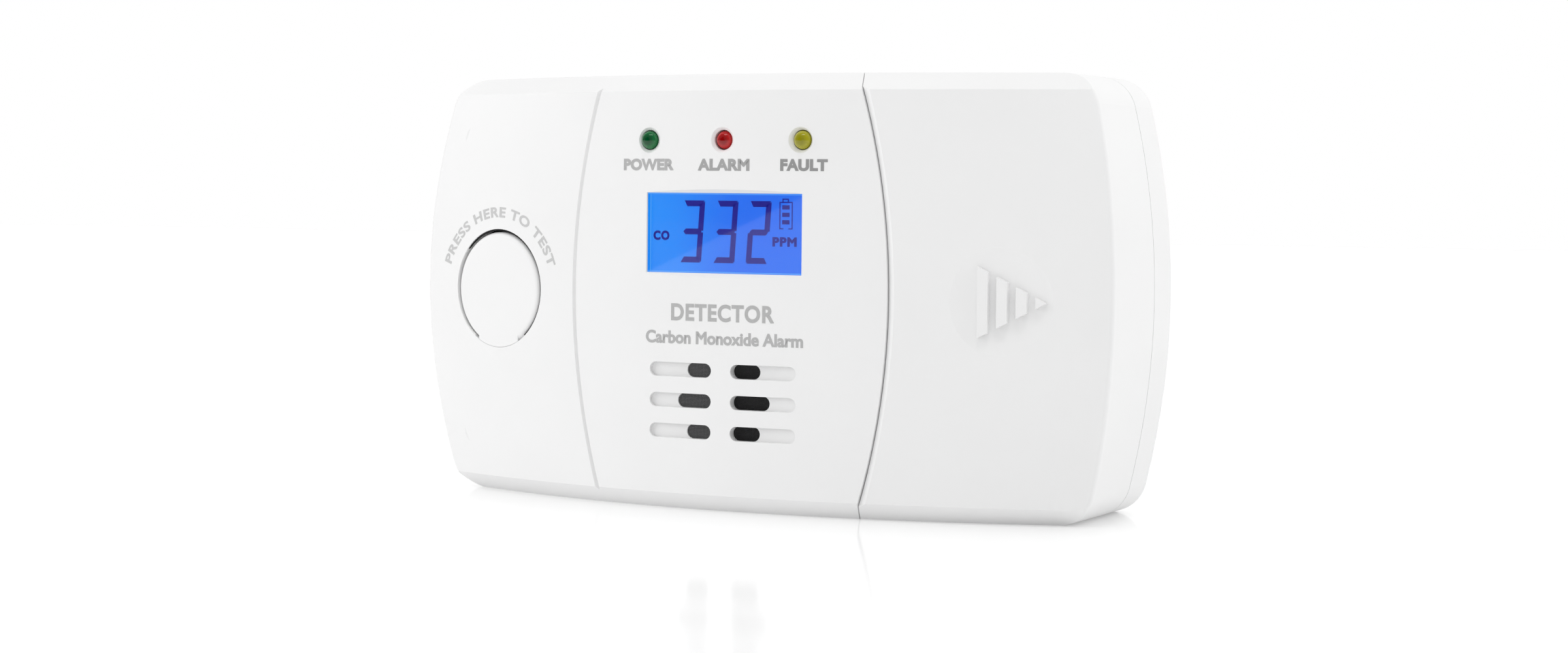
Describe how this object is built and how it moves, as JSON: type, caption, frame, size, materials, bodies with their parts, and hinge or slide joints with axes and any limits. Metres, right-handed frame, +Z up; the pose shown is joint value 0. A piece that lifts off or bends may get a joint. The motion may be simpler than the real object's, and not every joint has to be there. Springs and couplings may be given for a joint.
{
  "type": "carbon monoxide detector",
  "caption": "Free-standing or wall-hung battery gas alarm: bowed white casing with display, indicator lights, sounder grille, hinged test button and sliding battery door.",
  "frame": {"origin": "middle of the bottom of the bounding box, on the surface the alarm stands on", "axes": "+X to the right seen from the front, +Y towards the back, +Z up; the front faces -Y"},
  "size_m": [0.125, 0.0372, 0.07],
  "materials": {
    "white_abs": "injection-moulded white ABS, light satin gloss",
    "tray_abs": "moulded white ABS, fine matt texture",
    "window_clear": "clear moulded acrylic pane, polished",
    "lcd_glass": "blue backlit liquid crystal display",
    "light_guide": "diffusing acrylic light guide",
    "black_abs": "moulded black ABS",
    "zebra_silicone": "layered conductive silicone",
    "led_green": "green tinted epoxy dome",
    "led_red": "red tinted epoxy dome",
    "led_yellow": "yellow tinted epoxy dome",
    "tinned_steel": "tinned lead",
    "board_fr4": "glass-epoxy laminate with green solder mask",
    "chip_epoxy": "moulded black epoxy",
    "chip_ceramic": "ceramic chip with black coating",
    "capacitor_can": "drawn aluminium can",
    "ferrite": "sintered ferrite",
    "copper_wire": "enamelled copper wire",
    "sensor_steel": "drawn stainless can",
    "gold_pin": "gold-plated brass",
    "foam": "closed-cell foam",
    "brass_disc": "rolled brass disc",
    "piezo_white": "fired piezo ceramic with silver face",
    "plunger_nylon": "moulded nylon",
    "cell_metal": "nickel-plated can",
    "cell_sleeve": "printed shrink sleeve",
    "spring_nickel": "nickel-plated spring steel",
    "screw_zinc": "zinc-plated steel",
    "label_paper": "printed silver-white label"
  },
  "bodies": {
    "housing": {"alarm_led": "led_red", "backlight_plate": "light_guide", "battery_cells": "cell_metal", "battery_sleeves": "cell_sleeve", "battery_springs": "spring_nickel", "battery_tray": "tray_abs", "board_screws": "screw_zinc", "boost_core": "ferrite", "boost_winding": "copper_wire", "capacitors": "capacitor_can", "case_screws": "screw_zinc", "cell_link": "spring_nickel", "chip_leads": "tinned_steel", "chip_resistors": "chip_ceramic", "circuit_board": "board_fr4", "contact_plates": "spring_nickel", "display_window": "window_clear", "fault_led": "led_yellow", "front_cover": "white_abs", "lcd_frame": "black_abs", "lcd_panel": "lcd_glass", "led_leads": "tinned_steel", "microcontroller": "chip_epoxy", "piezo_ceramic": "piezo_white", "piezo_contact": "gold_pin", "piezo_disc": "brass_disc", "power_led": "led_green", "rear_cover": "white_abs", "rear_label": "label_paper", "sensor_can": "sensor_steel", "sensor_cap": "black_abs", "sensor_pins": "gold_pin", "sounder_gasket": "foam", "sounder_housing": "black_abs", "switch_body": "black_abs", "tray_screws": "screw_zinc", "zebra_connectors": "zebra_silicone"},
    "battery_door": {"battery_door": "white_abs"},
    "test_button": {"test_button": "white_abs"},
    "switch_plunger": {"switch_plunger": "plunger_nylon"}
  },
  "joints": [
    {"name": "battery_door_slide", "type": "slide", "parent": "housing", "child": "battery_door", "axis": [1, 0, 0], "range_m": [0, 0.042]},
    {"name": "test_button_hinge", "type": "hinge", "parent": "housing", "child": "test_button", "pos_m": [-0.04472, -0.01031, 0.0264], "axis": [-0.9754, 0.2204, 0], "range_deg": [0, 3.5], "stiffness_Nm_per_rad": 0.5},
    {"name": "switch_plunger_slide", "type": "slide", "parent": "housing", "child": "switch_plunger", "axis": [0, 1, 0], "range_m": [0, 0.0006]}
  ],
  "couplings": [
    {"joint": "switch_plunger_slide", "follows": "test_button_hinge", "m_per_rad": 0.0081}
  ]
}
